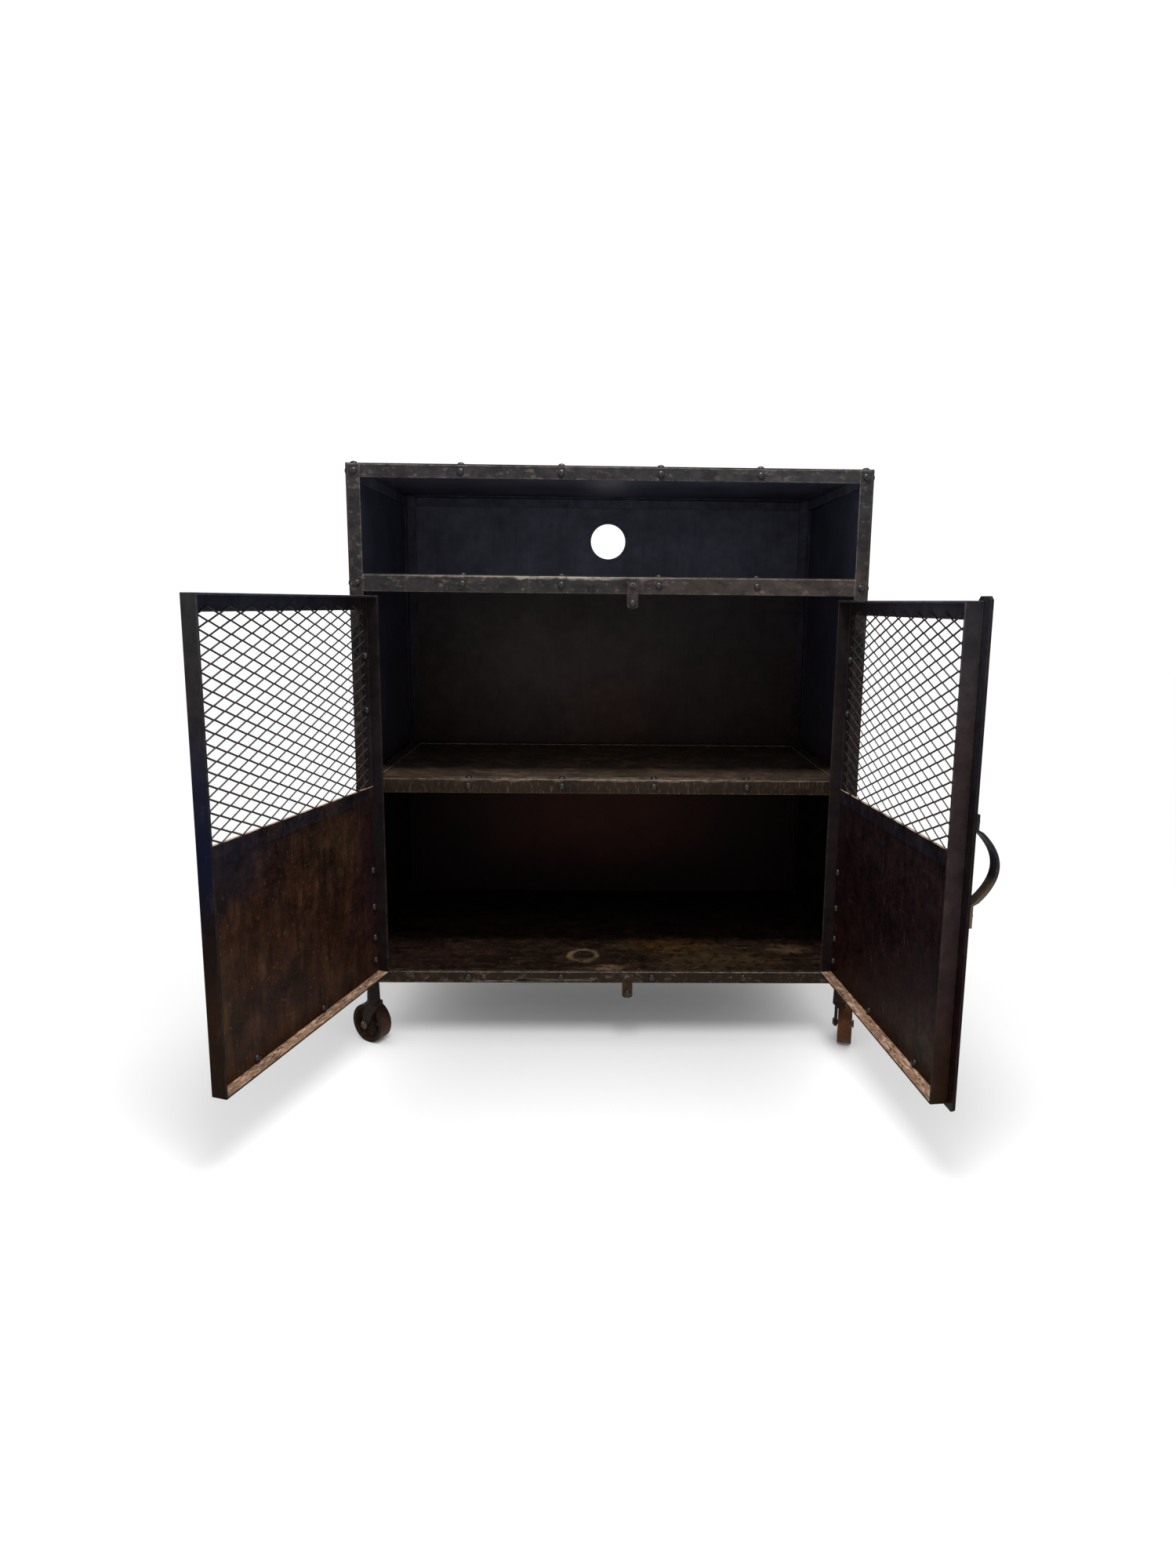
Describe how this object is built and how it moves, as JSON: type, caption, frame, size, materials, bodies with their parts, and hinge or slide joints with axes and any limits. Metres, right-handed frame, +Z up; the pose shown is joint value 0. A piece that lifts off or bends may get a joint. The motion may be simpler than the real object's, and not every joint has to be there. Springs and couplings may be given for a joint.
{
  "type": "bar cabinet",
  "caption": "Riveted steel bar cabinet on spoked swivel casters, with an open niche on top and hinged doors windowed in expanded metal.",
  "frame": {"origin": "on the floor under the middle of the bounding box, with the doors open as pictured", "axes": "+Z up, -Y out of the front, +X to the right as seen from the front"},
  "size_m": [1.066, 0.9064, 1.078],
  "materials": {
    "frame_steel": "dark gunmetal patina, satin, worn at the edges",
    "door_steel": "dark brown patina, rubbed to tan on the lower legs",
    "blue_black_sheet": "blued sheet, satin",
    "brown_black_sheet": "oiled brown-black sheet, streaked",
    "expanded_metal": "dark expanded metal, satin",
    "cast_iron": "rusted cast iron, matt",
    "bright_steel": "dull steel pin"
  },
  "bodies": {
    "base": {"front_left_post": "frame_steel", "front_right_post": "frame_steel", "back_left_post": "frame_steel", "back_right_post": "frame_steel", "top_front_rail": "frame_steel", "top_back_rail": "frame_steel", "top_left_rail": "frame_steel", "top_right_rail": "frame_steel", "bottom_front_rail": "frame_steel", "bottom_back_rail": "frame_steel", "bottom_left_rail": "frame_steel", "bottom_right_rail": "frame_steel", "mid_front_rail": "frame_steel", "top_panel": "frame_steel", "left_side_panel": "blue_black_sheet", "right_side_panel": "blue_black_sheet", "back_panel": "blue_black_sheet", "niche_floor": "blue_black_sheet", "floor_panel": "brown_black_sheet", "shelf_panel": "brown_black_sheet", "shelf_frame": "frame_steel", "left_low_hinge_frame_leaf": "frame_steel", "left_low_hinge_pin": "bright_steel", "left_high_hinge_frame_leaf": "frame_steel", "left_high_hinge_pin": "bright_steel", "right_low_hinge_frame_leaf": "frame_steel", "right_low_hinge_pin": "bright_steel", "right_high_hinge_frame_leaf": "frame_steel", "right_high_hinge_pin": "bright_steel", "front_left_caster_stem": "cast_iron", "front_right_caster_stem": "cast_iron", "rear_left_caster_stem": "cast_iron", "rear_right_caster_stem": "cast_iron"},
    "left_door": {"left_door_frame": "door_steel", "left_door_mesh": "expanded_metal", "left_door_panel": "brown_black_sheet", "left_low_hinge_door_leaf": "door_steel", "left_high_hinge_door_leaf": "door_steel"},
    "right_door": {"right_door_frame": "door_steel", "right_door_mesh": "expanded_metal", "right_door_panel": "brown_black_sheet", "right_low_hinge_door_leaf": "door_steel", "right_high_hinge_door_leaf": "door_steel", "closing_strip": "door_steel", "pull_handle": "door_steel"},
    "top_latch": {"top_latch": "frame_steel"},
    "bottom_latch": {"bottom_latch": "frame_steel"},
    "front_left_swivel": {"front_left_caster_horn": "cast_iron", "front_left_caster_axle": "bright_steel"},
    "front_left_wheel": {"front_left_caster_wheel": "cast_iron"},
    "front_right_swivel": {"front_right_caster_horn": "cast_iron", "front_right_caster_axle": "bright_steel"},
    "front_right_wheel": {"front_right_caster_wheel": "cast_iron"},
    "rear_left_swivel": {"rear_left_caster_horn": "cast_iron", "rear_left_caster_axle": "bright_steel"},
    "rear_left_wheel": {"rear_left_caster_wheel": "cast_iron"},
    "rear_right_swivel": {"rear_right_caster_horn": "cast_iron", "rear_right_caster_axle": "bright_steel"},
    "rear_right_wheel": {"rear_right_caster_wheel": "cast_iron"}
  },
  "joints": [
    {"name": "left_door_hinge", "type": "hinge", "parent": "base", "child": "left_door", "pos_m": [-0.41217, -0.01047, 0.506], "axis": [0, 0, 1], "range_deg": [-63.1, 106.9]},
    {"name": "right_door_hinge", "type": "hinge", "parent": "base", "child": "right_door", "pos_m": [0.45023, -0.01047, 0.506], "axis": [0, 0, 1], "range_deg": [-95.9, 74.1]},
    {"name": "top_latch_turn", "type": "hinge", "parent": "base", "child": "top_latch", "pos_m": [0.05883, -0.00617, 0.8737], "axis": [0, -1, 0], "range_deg": [0, 180]},
    {"name": "bottom_latch_turn", "type": "hinge", "parent": "base", "child": "bottom_latch", "pos_m": [0.05883, -0.00617, 0.144], "axis": [0, -1, 0], "range_deg": [0, 180]},
    {"name": "front_left_swivel_turn", "type": "hinge", "parent": "base", "child": "front_left_swivel", "pos_m": [-0.42447, 0.01183, 0.08], "axis": [0, 0, 1], "continuous": true},
    {"name": "front_left_wheel_spin", "type": "hinge", "parent": "front_left_swivel", "child": "front_left_wheel", "pos_m": [-0.43429, 0.03204, 0.0375], "axis": [0.527, 0.8499, 0], "continuous": true},
    {"name": "front_right_swivel_turn", "type": "hinge", "parent": "base", "child": "front_right_swivel", "pos_m": [0.46953, 0.01183, 0.08], "axis": [0, 0, 1], "continuous": true},
    {"name": "front_right_wheel_spin", "type": "hinge", "parent": "front_right_swivel", "child": "front_right_wheel", "pos_m": [0.48656, 0.02649, 0.0375], "axis": [0.9563, -0.2924, 0], "continuous": true},
    {"name": "rear_left_swivel_turn", "type": "hinge", "parent": "base", "child": "rear_left_swivel", "pos_m": [-0.42447, 0.43283, 0.08], "axis": [0, 0, 1], "continuous": true},
    {"name": "rear_left_wheel_spin", "type": "hinge", "parent": "rear_left_swivel", "child": "rear_left_wheel", "pos_m": [-0.4277, 0.41059, 0.0375], "axis": [-0.9135, -0.4067, 0], "continuous": true},
    {"name": "rear_right_swivel_turn", "type": "hinge", "parent": "base", "child": "rear_right_swivel", "pos_m": [0.46253, 0.43283, 0.08], "axis": [0, 0, 1], "continuous": true},
    {"name": "rear_right_wheel_spin", "type": "hinge", "parent": "rear_right_swivel", "child": "rear_right_wheel", "pos_m": [0.45401, 0.41203, 0.0375], "axis": [-0.9848, -0.1736, 0], "continuous": true}
  ]
}
